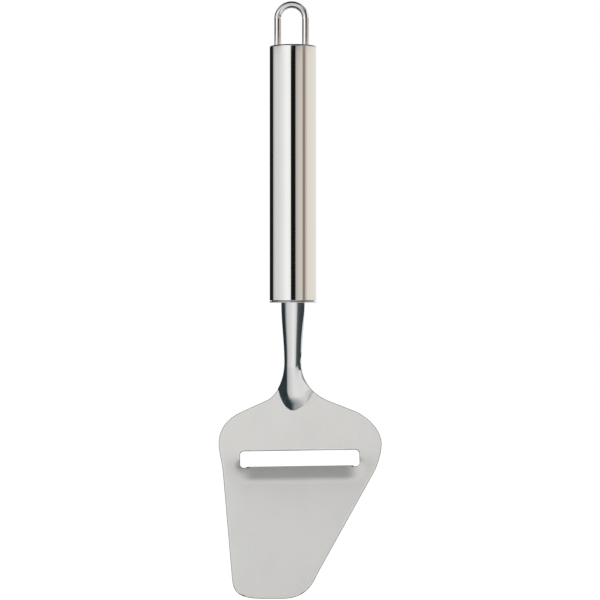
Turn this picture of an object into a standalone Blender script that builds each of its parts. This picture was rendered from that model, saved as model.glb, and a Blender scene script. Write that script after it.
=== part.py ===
"""Cheese slicer: a pressed steel blade with a half-round neck, welded into a tube handle with a wire loop.

Metres, +Z up. The slicer hangs by its loop. The origin is where a hook bears on the inside of the loop, the
handle's axis is Z, and the blade's upper side faces -Y. On the sheet, "down" is the drop below the handle.
"""

import math
from collections import namedtuple

import bmesh
import bpy
from mathutils import Matrix, Vector
from mathutils.geometry import interpolate_bezier

# Gap left between pieces that touch
GAP = 0.0003

# Hanging loop
WIRE_DIAMETER = 0.0028
LOOP_HEIGHT = 0.0157  # from the hook's point to the handle's end
LOOP_OFFSET = -0.0005  # it sits a little to the left
LEG_IN_HANDLE = 0.0080
LEG_RIM = 0.0005  # of the cap, left outside the hole of the outer leg

# Handle tube
HANDLE_DIAMETER = 0.0190
HANDLE_WALL = 0.0008
HANDLE_LENGTH = 0.1051  # with the bottom cap's rim
END_ROUND = 0.0005

# End caps: a disc inside the tube's top, and a plug in its bottom with a rim that shows below the tube
CAP_THICKNESS = 0.0025
CAP_ROUND = 0.0002
CAP_RIM = 0.0005

# Weld beads
BEAD_DIAMETER = 0.0012
NECK_BEAD_SPREAD = math.radians(55)  # each way from the crest
LEG_BEAD_SPREAD = math.radians(110)  # each way from the side that faces the other leg

# Blade sheet, measured at the middle of its thickness
SHEET = 0.0012
TANG_LENGTH = 0.0140
TANG_SET_BACK = 0.0027  # from the handle's axis to the foot of the channel
NECK_WIDTH = 0.0086
WAIST_WIDTH = 0.0061
WAIST_DOWN = 0.0240
FLANK_ANGLE = math.radians(72)
FOOT_RADIUS = 0.0027
NOSE_START = 0.0335
NOSE_END = 0.0438
HEEL_DOWN = 0.0372  # the flat blade starts here
HEEL_SET_BACK = 0.0043
BLADE_TILT = math.radians(10)  # the tip comes forward

# Slot and cutting lip
SLOT_LENGTH = 0.0490
SLOT_OPENING = 0.0062
SLOT_OFFSET = 0.0028  # its middle, right of the axis
SLOT_DOWN = 0.0640  # its middle
SLOT_TILT = math.radians(0.85)  # the right end is higher
SLOT_CORNER = 0.0012
RELIEF_DIAMETER = 0.0024
RELIEF_INSET = 0.0016  # from the slot's end
RELIEF_DEPTH = 0.0005  # below the lip's edge
LIP_ANGLE = math.radians(12)
LIP_FLAT = 0.0046
LIP_BEND = 0.0022
LIP_FADE = 0.0065  # past each end of the slot
GRIND_RUN = 0.0009
GRIND_LAND = 0.0002  # thickness left at the edge
GRIND_INSET = 0.0035  # from each end of the slot

# The blade's two sides: points are (distance from the axis, down), and pulls are the lengths of curve handles
POINTS = ("flare", "shoulder", "widest", "edge", "tip")
PULLS = ("flare_pull", "shoulder_pull", "ear_pull", "tip_pull")
Side = namedtuple("Side", (*POINTS, *PULLS, "slope", "lean", "edge_end_down"))
LEFT = Side(
    flare=(0.0110, 0.0405),
    slope=math.radians(24.2),
    shoulder=(0.0208, 0.0449),
    widest=(0.0304, 0.0579),
    edge=(0.0286, 0.0700),
    lean=math.radians(5.3),
    edge_end_down=0.1110,
    tip=(0.0125, 0.1201),
    flare_pull=(0.0065, 0.0055),
    shoulder_pull=(0.0080, 0.0050),
    ear_pull=(0.0037, 0.0049),
    tip_pull=(0.0052, 0.0115),
)
RIGHT = Side(
    flare=(0.0145, 0.0405),
    slope=math.radians(22.0),
    shoulder=(0.0254, 0.0447),
    widest=(0.0364, 0.0582),
    edge=(0.0330, 0.0698),
    lean=math.radians(29.6),
    edge_end_down=0.1099,
    tip=(-0.0040, 0.1201),
    flare_pull=(0.0110, 0.0030),
    shoulder_pull=(0.0036, 0.0070),
    ear_pull=(0.0014, 0.0054),
    tip_pull=(0.0030, 0.0105),
)

# Mesh steps
TURN_STEPS = 56
HOLE_STEPS = 24
ARC_STEPS = 12
COLUMNS = 22
CENTRE_CROWDING = 0.3  # share of even spacing, so that columns crowd towards the neck
ROWS = {"tang": 2, "neck": 7, "flare": 14, "shoulder": 3, "cheek": 7, "ear": 9, "edge": 12, "tip": 10}
EDGE_CROWDING = 1.6  # power that crowds the edge's rows towards the lip

# Worked out from the above
HANDLE_TOP = -LOOP_HEIGHT
HANDLE_BOTTOM = HANDLE_TOP - HANDLE_LENGTH
HANDLE_RADIUS = HANDLE_DIAMETER / 2
TUBE_LENGTH = HANDLE_LENGTH - CAP_RIM - GAP
CAP_RADIUS = HANDLE_RADIUS - HANDLE_WALL - GAP
WIRE_RADIUS = WIRE_DIAMETER / 2
LEG_SPREAD = CAP_RADIUS - LEG_RIM - GAP - abs(LOOP_OFFSET) - WIRE_RADIUS
BEAD_RADIUS = BEAD_DIAMETER / 2
LIP_DROP = math.tan(LIP_ANGLE) * (LIP_FLAT + LIP_BEND / 2)


# Scene and helpers


def clear_scene():
    for item in list(bpy.data.objects):
        bpy.data.objects.remove(item, do_unlink=True)


def new_collection(name):
    collection = bpy.data.collections.new(name)
    bpy.context.scene.collection.children.link(collection)
    return collection


def steel(name, colour, roughness):
    material = bpy.data.materials.new(name)
    material.use_nodes = True
    shader = material.node_tree.nodes["Principled BSDF"]
    shader.inputs["Base Color"].default_value = (*colour, 1)
    shader.inputs["Metallic"].default_value = 1
    shader.inputs["Roughness"].default_value = roughness
    return material


def add_object(name, data, collection):
    item = bpy.data.objects.new(name, data)
    collection.objects.link(item)
    return item


def add_cutter(name, mesh):
    cutter = add_object(name, mesh, cutters)
    cutter.hide_render = True
    cutter.display_type = "WIRE"
    return cutter


def cut(item, *tools, solver="EXACT"):
    for tool in tools:
        boolean = item.modifiers.new(tool.name, "BOOLEAN")
        boolean.operation = "DIFFERENCE"
        boolean.solver = solver
        boolean.object = tool


def arc(centre, radius, start, end):
    """Points on an arc, with angles from +X towards the second axis."""
    for i in range(ARC_STEPS + 1):
        angle = start + (end - start) * i / ARC_STEPS
        yield centre[0] + radius * math.cos(angle), centre[1] + radius * math.sin(angle)


def turned(name, profile, closed):
    """A piece turned about Z from (radius, height) points that run down its outer side."""
    count = len(profile)
    edges = [(i, (i + 1) % count) for i in range(count if closed else count - 1)]
    mesh = bpy.data.meshes.new(name)
    mesh.from_pydata([(radius, 0, height) for radius, height in profile], edges, [])
    item = add_object(name, mesh, parts)
    screw = item.modifiers.new("Turn", "SCREW")
    screw.steps = TURN_STEPS
    screw.render_steps = TURN_STEPS
    screw.use_merge_vertices = True
    screw.merge_threshold = 0.00001
    return item


def outline_mesh(name, points, depth):
    """A flat outline in XY, filled and given a depth along Z, as a closed mesh."""
    curve = bpy.data.curves.new(name, "CURVE")
    curve.dimensions = "2D"
    curve.fill_mode = "BOTH"
    curve.extrude = depth / 2
    spline = curve.splines.new("POLY")
    spline.points.add(len(points) - 1)
    for point, (x, y) in zip(spline.points, points):
        point.co = (x, y, 0, 1)
    spline.use_cyclic_u = True
    item = add_object(name, curve, cutters)
    mesh = bpy.data.meshes.new_from_object(item.evaluated_get(bpy.context.evaluated_depsgraph_get()))
    bpy.data.objects.remove(item, do_unlink=True)
    weld(mesh)
    return mesh


def weld(mesh):
    shape = bmesh.new()
    shape.from_mesh(mesh)
    bmesh.ops.remove_doubles(shape, verts=shape.verts, dist=0.00001)
    bmesh.ops.recalc_face_normals(shape, faces=shape.faces)
    shape.to_mesh(mesh)
    shape.free()


def cylinder_cutter(name, diameter, depth, matrix):
    shape = bmesh.new()
    bmesh.ops.create_cone(
        shape,
        cap_ends=True,
        segments=HOLE_STEPS,
        radius1=diameter / 2,
        radius2=diameter / 2,
        depth=depth,
    )
    mesh = bpy.data.meshes.new(name)
    shape.to_mesh(mesh)
    shape.free()
    cutter = add_cutter(name, mesh)
    cutter.matrix_world = matrix
    return cutter


def wire(name, points, diameter):
    curve = bpy.data.curves.new(name, "CURVE")
    curve.dimensions = "3D"
    curve.bevel_depth = diameter / 2
    curve.bevel_resolution = 3
    curve.use_fill_caps = True
    spline = curve.splines.new("POLY")
    spline.points.add(len(points) - 1)
    for point, place in zip(spline.points, points):
        point.co = (*place, 1)
    return add_object(name, curve, parts)


# Shape of the sheet


def ease(value):
    value = min(max(value, 0), 1)
    return value * value * (3 - 2 * value)


def neck_half(down):
    """Half the width of the neck, from the handle to the waist."""
    return (NECK_WIDTH + (WAIST_WIDTH - NECK_WIDTH) * ease(down / WAIST_DOWN)) / 2


def crest_radius(down):
    return neck_half(down) / math.sin(FLANK_ANGLE)


def flank_angle(down):
    """How steep the sides of the channel are. They sink into the blade at its nose."""
    run = min(max((down - NOSE_START) / (NOSE_END - NOSE_START), 0), 1)
    return FLANK_ANGLE * (1 - run * run) ** 0.75


def crest_height(down):
    return (crest_radius(down) + FOOT_RADIUS) * (1 - math.cos(flank_angle(down)))


def across_sheet(x, down):
    """Length along the sheet from the crest to a distance x from the axis."""
    radius = crest_radius(down)
    flank = flank_angle(down)
    crest_x = radius * math.sin(flank)
    foot_x = crest_x + FOOT_RADIUS * math.sin(flank)
    if abs(x) <= crest_x:
        length = radius * math.asin(abs(x) / radius)
    elif abs(x) < foot_x:
        length = radius * flank + FOOT_RADIUS * (flank - math.asin((foot_x - abs(x)) / FOOT_RADIUS))
    else:
        length = (radius + FOOT_RADIUS) * flank + abs(x) - foot_x
    return math.copysign(length, x)


def section(length, down):
    """x and rise above the blade's plane of a point at a length along the sheet from the crest."""
    radius = crest_radius(down)
    flank = flank_angle(down)
    crest_x = radius * math.sin(flank)
    foot_x = crest_x + FOOT_RADIUS * math.sin(flank)
    far = abs(length)
    if far <= radius * flank:
        x = radius * math.sin(far / radius)
        rise = crest_height(down) - radius * (1 - math.cos(far / radius))
    elif far < (radius + FOOT_RADIUS) * flank:
        turn = flank - (far - radius * flank) / FOOT_RADIUS
        x = foot_x - FOOT_RADIUS * math.sin(turn)
        rise = FOOT_RADIUS * (1 - math.cos(turn))
    else:
        x = foot_x + far - (radius + FOOT_RADIUS) * flank
        rise = 0
    return math.copysign(x, length), rise


def base_line(down):
    """Set-back and its change with down: straight tang, curved neck, then the tilted plane of the blade."""
    fall = -math.tan(BLADE_TILT)
    if down <= 0:
        return TANG_SET_BACK, 0
    if down >= HEEL_DOWN:
        return HEEL_SET_BACK + fall * (down - HEEL_DOWN), fall
    run = down / HEEL_DOWN
    step = HEEL_SET_BACK - TANG_SET_BACK
    back = TANG_SET_BACK + step * run * run * (3 - 2 * run) + fall * HEEL_DOWN * run * run * (run - 1)
    slope = step * 6 * run * (1 - run) / HEEL_DOWN + fall * run * (3 * run - 2)
    return back, slope


def lip_back(x, down):
    """How far the sheet is pressed back to make the cutting lip."""
    from_middle = x - SLOT_OFFSET
    below = down - SLOT_DOWN + from_middle * math.tan(SLOT_TILT) - SLOT_OPENING / 2
    past_end = abs(from_middle) - (SLOT_LENGTH / 2 - RELIEF_INSET)
    share = 1 - ease(past_end / LIP_FADE)
    if below < 0:
        return share * LIP_DROP * ease(1 + below / SLOT_OPENING)
    if below < LIP_FLAT:
        return share * (LIP_DROP - below * math.tan(LIP_ANGLE))
    left = max(LIP_BEND - (below - LIP_FLAT), 0)
    return share * math.tan(LIP_ANGLE) * left * left / (2 * LIP_BEND)


def sheet_point(length, down):
    x, rise = section(length, down)
    back, slope = base_line(down)
    rise -= lip_back(x, down)
    norm = math.hypot(1, slope)
    return Vector((x, back - rise / norm, HANDLE_BOTTOM - down - rise * slope / norm))


# Outline of the blade


def span(start, start_angle, end, end_angle, pull, rows):
    """Points of one curve of the outline. Angles are from straight down, outwards positive."""
    first = Vector((*start, 0))
    last = Vector((*end, 0))
    out = first + pull[0] * Vector((math.sin(start_angle), math.cos(start_angle), 0))
    back = last - pull[1] * Vector((math.sin(end_angle), math.cos(end_angle), 0))
    curve = interpolate_bezier(first, out, back, last, rows + 1)
    return [(point.x, point.y) for point in curve[1:]]


def straight(start, end, rows, crowding=1):
    steps = [(i / rows) ** crowding for i in range(1, rows + 1)]
    return [tuple(a + (b - a) * step for a, b in zip(start, end)) for step in steps]


def side_outline(side):
    """One side of the sheet as (distance from the axis, down) points, from the tang to the tip."""
    downs = [TANG_LENGTH * (i / ROWS["tang"] - 1) for i in range(ROWS["tang"])]
    downs += [WAIST_DOWN * i / ROWS["neck"] for i in range(ROWS["neck"] + 1)]
    points = [(neck_half(down), down) for down in downs]
    sloping = math.pi / 2 - side.slope
    points += span(points[-1], 0, side.flare, sloping, side.flare_pull, ROWS["flare"])
    points += straight(side.flare, side.shoulder, ROWS["shoulder"])
    points += span(side.shoulder, sloping, side.widest, 0, side.shoulder_pull, ROWS["cheek"])
    points += span(side.widest, 0, side.edge, -side.lean, side.ear_pull, ROWS["ear"])
    edge_x, edge_down = side.edge
    edge_end = (edge_x - (side.edge_end_down - edge_down) * math.tan(side.lean), side.edge_end_down)
    points += straight(side.edge, edge_end, ROWS["edge"], EDGE_CROWDING)
    points += span(edge_end, -side.lean, side.tip, -math.pi / 2, side.tip_pull, ROWS["tip"])
    return points


# The five pieces and the weld beads


def make_blade():
    lefts = [(across_sheet(-x, down), down) for x, down in side_outline(LEFT)]
    rights = [(across_sheet(x, down), down) for x, down in side_outline(RIGHT)]
    rows = len(lefts) - 1
    shape = bmesh.new()
    bmesh.ops.create_grid(shape, x_segments=COLUMNS, y_segments=rows, size=1)
    for vertex in shape.verts:
        row = round((1 - vertex.co.y) / 2 * rows)
        (left, left_down), (right, right_down) = lefts[row], rights[row]
        column = vertex.co.x * (CENTRE_CROWDING + (1 - CENTRE_CROWDING) * vertex.co.x**2)
        length = (left + right) / 2 + column * (right - left) / 2
        share = (length - left) / (right - left)
        vertex.co = sheet_point(length, left_down + share * (right_down - left_down))
    for face in shape.faces:
        face.smooth = True
    for edge in shape.edges:
        edge.smooth = not edge.is_boundary
    mesh = bpy.data.meshes.new("blade")
    shape.to_mesh(mesh)
    shape.free()
    blade = add_object("blade", mesh, parts)
    solid = blade.modifiers.new("Thickness", "SOLIDIFY")
    solid.thickness = SHEET
    solid.offset = 0
    solid.use_even_offset = True
    # The exact solver can lose the sheet where a cut runs close along one of its rows
    cut(blade, *slot_cutters(), solver="MANIFOLD")
    return blade


def slot_frame():
    """Middle of the slot, with its length along X, up the blade along Y and the blade's front along Z."""
    back = base_line(SLOT_DOWN)[0]
    place = Matrix.Translation((SLOT_OFFSET, back, HANDLE_BOTTOM - SLOT_DOWN))
    stand = Matrix.Rotation(math.pi / 2 - BLADE_TILT, 4, "X")
    return place @ stand @ Matrix.Rotation(SLOT_TILT, 4, "Z")


def slot_cutters():
    frame = slot_frame()
    depth = 4 * (LIP_DROP + SHEET)
    half_length = SLOT_LENGTH / 2 - SLOT_CORNER
    half_opening = SLOT_OPENING / 2 - SLOT_CORNER
    corners = []
    for quarter, (x, y) in enumerate(((1, 1), (-1, 1), (-1, -1), (1, -1))):
        turn = quarter * math.pi / 2
        corners += arc((x * half_length, y * half_opening), SLOT_CORNER, turn, turn + math.pi / 2)
    slot = add_cutter("slot_cutter", outline_mesh("slot_cutter", corners, depth))
    slot.matrix_world = frame
    reliefs = []
    for name, x in (("left", RELIEF_INSET - SLOT_LENGTH / 2), ("right", SLOT_LENGTH / 2 - RELIEF_INSET)):
        height = RELIEF_DIAMETER / 2 - RELIEF_DEPTH - SLOT_OPENING / 2
        place = frame @ Matrix.Translation((x, height, 0))
        reliefs.append(cylinder_cutter("relief_cutter_" + name, RELIEF_DIAMETER, depth, place))
    return [grind_cutter(frame), slot, *reliefs]


def grind_cutter(frame):
    """A block whose lower face slices the front of the lip down to a thin edge."""
    edge = Vector((0, -SLOT_OPENING / 2, -LIP_DROP))
    along = Vector((0, -math.cos(LIP_ANGLE), math.sin(LIP_ANGLE)))
    front = Vector((0, math.sin(LIP_ANGLE), math.cos(LIP_ANGLE)))
    start = edge - front * (SHEET / 2 - GRIND_LAND)
    run = edge + along * GRIND_RUN + front * SHEET / 2 - start
    shape = bmesh.new()
    bmesh.ops.create_cube(shape, size=1)
    size = (SLOT_LENGTH - 2 * GRIND_INSET, 3 * run.length, 2 * SHEET)
    bmesh.ops.scale(shape, vec=size, verts=shape.verts)
    bmesh.ops.translate(shape, vec=(0, 0, SHEET), verts=shape.verts)
    mesh = bpy.data.meshes.new("grind_cutter")
    shape.to_mesh(mesh)
    shape.free()
    cutter = add_cutter("grind_cutter", mesh)
    lean = math.atan2(run.z, -run.y)
    cutter.matrix_world = frame @ Matrix.Translation(start + run / 2) @ Matrix.Rotation(-lean, 4, "X")
    return cutter


def make_handle_tube():
    inner = HANDLE_RADIUS - HANDLE_WALL
    end_round = min(END_ROUND, 0.9 * HANDLE_WALL)
    profile = list(arc((HANDLE_RADIUS - end_round, -end_round), end_round, math.pi / 2, 0))
    profile += [(HANDLE_RADIUS, -TUBE_LENGTH), (inner, -TUBE_LENGTH), (inner, 0)]
    tube = turned("handle_tube", profile, closed=True)
    tube.location.z = HANDLE_TOP
    return tube


def cap_face(radius):
    """Middle and rounded edge of a cap's outer face, which is at height 0."""
    return [(0, 0), *arc((radius - CAP_ROUND, -CAP_ROUND), CAP_ROUND, math.pi / 2, 0)]


def make_top_end_cap():
    profile = cap_face(CAP_RADIUS) + [(CAP_RADIUS, -CAP_THICKNESS), (0, -CAP_THICKNESS)]
    cap = turned("top_end_cap", profile, closed=False)
    cap.location.z = HANDLE_TOP
    for name, x in leg_places():
        place = Matrix.Translation((x, 0, HANDLE_TOP))
        cut(cap, cylinder_cutter("leg_hole_" + name, WIRE_DIAMETER + 2 * GAP, 4 * CAP_THICKNESS, place))
    return cap


def leg_places():
    return ("left", LOOP_OFFSET - LEG_SPREAD), ("right", LOOP_OFFSET + LEG_SPREAD)


def neck_arc_centre():
    return TANG_SET_BACK - crest_height(0) + crest_radius(0)


def make_bottom_end_cap():
    profile = cap_face(HANDLE_RADIUS) + [(HANDLE_RADIUS, -CAP_RIM), (CAP_RADIUS, -CAP_RIM)]
    profile += [(CAP_RADIUS, -CAP_THICKNESS), (0, -CAP_THICKNESS)]
    cap = turned("bottom_end_cap", profile, closed=False)
    cap.rotation_euler.x = math.pi
    cap.location.z = HANDLE_BOTTOM
    radius = crest_radius(0)
    half = SHEET / 2 + GAP
    spread = FLANK_ANGLE + GAP / radius
    crest = -math.pi / 2
    centre = (0, neck_arc_centre())
    points = list(arc(centre, radius + half, crest - spread, crest + spread))
    points += arc(centre, radius - half, crest + spread, crest - spread)
    opening = add_cutter("neck_opening", outline_mesh("neck_opening", points, 4 * CAP_THICKNESS))
    opening.location.z = HANDLE_BOTTOM
    cut(cap, opening)
    return cap


def make_hanging_loop():
    arch_height = WIRE_RADIUS - LEG_SPREAD
    foot = HANDLE_TOP - LEG_IN_HANDLE
    arch = list(arc((LOOP_OFFSET, arch_height), LEG_SPREAD, math.pi, 0))
    points = [(arch[0][0], 0, foot), *((x, 0, z) for x, z in arch), (arch[-1][0], 0, foot)]
    return wire("hanging_loop", points, WIRE_DIAMETER)


def make_loop_weld(name, x):
    radius = WIRE_RADIUS + GAP + BEAD_RADIUS
    height = HANDLE_TOP - CAP_THICKNESS - GAP - BEAD_RADIUS
    inward = 0 if x < LOOP_OFFSET else math.pi
    places = arc((x, 0), radius, inward - LEG_BEAD_SPREAD, inward + LEG_BEAD_SPREAD)
    return wire("loop_weld_" + name, [(x, y, height) for x, y in places], BEAD_DIAMETER)


def make_neck_weld():
    radius = crest_radius(0) + SHEET / 2 + GAP + BEAD_RADIUS
    crest = -math.pi / 2
    height = HANDLE_BOTTOM + CAP_THICKNESS + GAP + BEAD_RADIUS
    places = arc((0, neck_arc_centre()), radius, crest - NECK_BEAD_SPREAD, crest + NECK_BEAD_SPREAD)
    return wire("neck_weld", [(x, y, height) for x, y in places], BEAD_DIAMETER)


def finish(item, material):
    item.data.materials.append(material)
    item.parent = hook_point


clear_scene()
parts = new_collection("cheese_slicer")
cutters = new_collection("cutters")
hook_point = add_object("hook_point", None, parts)

finish(make_hanging_loop(), steel("loop_wire", (0.66, 0.65, 0.63), 0.15))
finish(make_top_end_cap(), steel("top_cap_steel", (0.63, 0.62, 0.60), 0.12))
finish(make_handle_tube(), steel("handle_polish", (0.68, 0.67, 0.65), 0.08))
finish(make_bottom_end_cap(), steel("bottom_cap_steel", (0.63, 0.62, 0.60), 0.12))
finish(make_blade(), steel("blade_satin", (0.62, 0.61, 0.60), 0.32))
finish(make_neck_weld(), steel("neck_weld_bead", (0.42, 0.40, 0.38), 0.45))
for side_name, leg_x in leg_places():
    finish(make_loop_weld(side_name, leg_x), steel("loop_weld_bead_" + side_name, (0.42, 0.40, 0.38), 0.45))
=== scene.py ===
import math

import bmesh
import bpy
import numpy as np
from mathutils import Matrix, Vector, kdtree
from mathutils.geometry import interpolate_bezier


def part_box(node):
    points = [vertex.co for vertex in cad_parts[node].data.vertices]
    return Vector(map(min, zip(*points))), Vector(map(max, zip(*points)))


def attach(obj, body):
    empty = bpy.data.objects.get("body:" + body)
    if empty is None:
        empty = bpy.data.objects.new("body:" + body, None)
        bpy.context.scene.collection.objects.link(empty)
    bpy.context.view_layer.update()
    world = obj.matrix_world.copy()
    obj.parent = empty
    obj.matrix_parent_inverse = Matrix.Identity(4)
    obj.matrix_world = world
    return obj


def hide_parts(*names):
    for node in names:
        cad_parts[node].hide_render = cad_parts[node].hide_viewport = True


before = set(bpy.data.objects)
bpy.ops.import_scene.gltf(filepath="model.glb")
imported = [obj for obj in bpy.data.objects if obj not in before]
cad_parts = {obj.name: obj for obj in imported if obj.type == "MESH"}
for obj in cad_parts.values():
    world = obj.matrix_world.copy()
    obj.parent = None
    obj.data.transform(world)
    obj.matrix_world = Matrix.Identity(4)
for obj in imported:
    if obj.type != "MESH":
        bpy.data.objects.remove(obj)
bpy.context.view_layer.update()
print("frame loaded:", ", ".join(sorted(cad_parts)))


# small helpers

def addNode(tree, kind, values=None, **settings):
    node = tree.nodes.new(kind)
    for name, value in settings.items():
        setattr(node, name, value)
    for name, value in (values or {}).items():
        if isinstance(value, bpy.types.NodeSocket):
            tree.links.new(value, node.inputs[name])
        else:
            node.inputs[name].default_value = value
    return node


def mathNode(tree, operation, *values):
    return addNode(tree, "ShaderNodeMath", dict(enumerate(values)), operation=operation).outputs[0]


def easeNode(tree, value, start, end, low=0.0, high=1.0):
    values = {"Value": value, "From Min": start, "From Max": end, "To Min": low, "To Max": high}
    return addNode(tree, "ShaderNodeMapRange", values, interpolation_type="SMOOTHSTEP").outputs[0]


def mixColour(tree, share, first, second):
    first, second = ((*colour, 1) if isinstance(colour, tuple) else colour for colour in (first, second))
    return addNode(tree, "ShaderNodeMix", {0: share, 6: first, 7: second}, data_type="RGBA").outputs[2]


def blendNode(tree, first, second, share):
    rest = mathNode(tree, "MULTIPLY", second, 1 - share)
    return mathNode(tree, "MULTIPLY_ADD", first, share, rest)


def attributeNode(tree, name):
    return addNode(tree, "ShaderNodeAttribute", attribute_name=name).outputs["Fac"]


def rampNode(tree, value, stops):
    node = addNode(tree, "ShaderNodeValToRGB", {"Fac": value})
    elements = node.color_ramp.elements
    while len(elements) < len(stops):
        elements.new(1.0)
    for element, (spot, colour) in zip(elements, stops):
        element.position = spot
    for element, (spot, colour) in zip(elements, stops):
        element.color = (*colour, 1)
    return node.outputs["Color"]


def place(name, mesh, material=None):
    piece = bpy.data.objects.new(name, mesh)
    bpy.context.scene.collection.objects.link(piece)
    if material:
        mesh.materials.append(material)
    return piece


def linePiece(name, points, edges):
    mesh = bpy.data.meshes.new(name)
    mesh.from_pydata(points, edges, [])
    return place(name, mesh)


def shapePiece(name, shape, material=None):
    mesh = bpy.data.meshes.new(name)
    shape.to_mesh(mesh)
    shape.free()
    return place(name, mesh, material)


def freeze(piece):
    # the evaluated mesh takes the place of the base mesh and its modifiers
    graph = bpy.context.evaluated_depsgraph_get()
    mesh = bpy.data.meshes.new_from_object(
        piece.evaluated_get(graph), preserve_all_data_layers=True, depsgraph=graph
    )
    piece.modifiers.clear()
    piece.data = mesh
    return piece


def faceOut(mesh, merge=1e-7):
    shape = bmesh.new()
    shape.from_mesh(mesh)
    if merge:
        bmesh.ops.remove_doubles(shape, verts=shape.verts, dist=merge)
    bmesh.ops.recalc_face_normals(shape, faces=shape.faces)
    shape.to_mesh(mesh)
    shape.free()


def smoothOver(mesh, sharp):
    faceOut(mesh)
    mesh.shade_smooth()
    mesh.set_sharp_from_angle(angle=sharp)


def settle(piece, slotName, *nodes):
    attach(piece, "root")
    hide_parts(*nodes)
    print("made", piece.name, "with", len(piece.data.polygons), "faces")


quarter = math.pi / 2


def arcPoints(centre, radius, start, end, steps):
    for i in range(steps + 1):
        angle = start + (end - start) * i / steps
        yield centre[0] + radius * math.cos(angle), centre[1] + radius * math.sin(angle)


# finishes

def steelMaterial(name, metalColour):
    material = bpy.data.materials.new(name)
    material.use_nodes = True
    tree = material.node_tree
    shader = tree.nodes["Principled BSDF"]
    shader.inputs["Metallic"].default_value = 1.0
    shader.inputs["Base Color"].default_value = (*metalColour, 1)
    coords = addNode(tree, "ShaderNodeTexCoord").outputs["Object"]
    return material, tree, shader, coords


def stretchedNoise(tree, coords, stretch, detail=3.0):
    scaled = addNode(tree, "ShaderNodeMapping", {"Vector": coords, "Scale": stretch})
    values = {"Vector": scaled.outputs[0], "Scale": 1.0, "Detail": detail, "Roughness": 0.6}
    return addNode(tree, "ShaderNodeTexNoise", values).outputs["Fac"]


def axisPlace(tree, coords):
    # distance from the handle's axis, and height
    apart = addNode(tree, "ShaderNodeSeparateXYZ", {"Vector": coords}).outputs
    flat = addNode(tree, "ShaderNodeCombineXYZ", {"X": apart["X"], "Y": apart["Y"]}).outputs[0]
    radius = addNode(tree, "ShaderNodeVectorMath", {0: flat}, operation="LENGTH").outputs["Value"]
    return radius, apart["Z"]


def finishSteel(tree, shader, colour, rough, relief, bump):
    distance, strength = bump
    values = {"Height": relief, "Distance": distance, "Strength": strength}
    normal = addNode(tree, "ShaderNodeBump", values).outputs["Normal"]
    for name, value in (("Base Color", colour), ("Roughness", rough), ("Normal", normal)):
        tree.links.new(value, shader.inputs[name])


# a bump is given by its height and strength, a roughness by its two ends
tubePolish = {
    "light": (0.715, 0.708, 0.695),
    "dark": (0.685, 0.678, 0.662),
    "streaks": (1300, 1300, 9),     # polishing lines run along the tube
    "smudges": (45, 45, 30),
    "streakShare": 0.6,
    "toneRange": (0.3, 0.7),
    "rough": (0.03, 0.055),
    "bump": (0.00000008, 0.5),
    "rim": (0.05, 0.05, 0.05),      # painted reflection: the turned rim at the top is painted dark, like the dark ceiling it mirrors, and is rougher
    "paintedRimReach": (0.00062, 0.00034),
    "rimRough": 0.3,
}


def makeTubePolish():
    look = tubePolish
    material, tree, shader, coords = steelMaterial("tubePolish", look["light"])
    lines = stretchedNoise(tree, coords, look["streaks"])
    smudge = stretchedNoise(tree, coords, look["smudges"], detail=2.0)
    tone = blendNode(tree, lines, smudge, look["streakShare"])
    shade = mixColour(tree, tone, look["dark"], look["light"])
    height = addNode(tree, "ShaderNodeSeparateXYZ", {"Vector": coords}).outputs["Z"]
    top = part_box("handle_tube")[1].z
    # painted reflection: the rim is painted dark near the top
    rim = easeNode(tree, height, *(top - reach for reach in look["paintedRimReach"]))
    shade = mixColour(tree, rim, shade, look["rim"])
    rough = easeNode(tree, tone, *look["toneRange"], *look["rough"])
    rough = mathNode(tree, "MULTIPLY_ADD", rim, look["rimRough"], rough)
    finishSteel(tree, shader, shade, rough, lines, look["bump"])
    return material


wirePolish = {
    "light": (0.78, 0.77, 0.755),
    "dark": (0.70, 0.688, 0.67),
    "pits": (1500, 1500, 500),
    "marks": (6.0, 120.0, 1.6),     # of the drawing, round the wire, along it, and their scale
    "markShare": 0.7,
    "toneRange": (0.35, 0.6),
    "roughRange": (0.7, 0.3),
    "rough": (0.03, 0.06),
    "bump": (0.0000003, 0.6),
}


def makeWirePolish():
    look = wirePolish
    material, tree, shader, coords = steelMaterial("wirePolish", look["light"])
    around, along, scale = look["marks"]
    turnAngle = mathNode(tree, "MULTIPLY", attributeNode(tree, "around"), 2 * math.pi)
    spot = {"Z": mathNode(tree, "MULTIPLY", attributeNode(tree, "along"), along)}
    for axis, wave in (("X", "COSINE"), ("Y", "SINE")):
        spot[axis] = mathNode(tree, "MULTIPLY", mathNode(tree, wave, turnAngle), around)
    drawn = addNode(tree, "ShaderNodeCombineXYZ", spot).outputs[0]
    values = {"Vector": drawn, "Scale": scale, "Detail": 3.0}
    marks = addNode(tree, "ShaderNodeTexNoise", values).outputs["Fac"]
    tone = blendNode(tree, marks, stretchedNoise(tree, coords, look["pits"]), look["markShare"])
    shade = mixColour(tree, easeNode(tree, tone, *look["toneRange"]), look["dark"], look["light"])
    rough = easeNode(tree, tone, *look["roughRange"], *look["rough"])
    finishSteel(tree, shader, shade, rough, marks, look["bump"])
    return material


capTurning = {
    "light": (0.68, 0.67, 0.655),
    "dark": (0.58, 0.57, 0.555),
    "ringPitch": 5200,              # lathe rings on the face
    "clouds": (260, 260, 260),
    "ringShare": 0.65,
    "toneRange": (0.3, 0.65),
    "rough": (0.12, 0.24),          # bright tones are the smoother ones
    "bump": (0.000002, 0.5),
}


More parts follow.
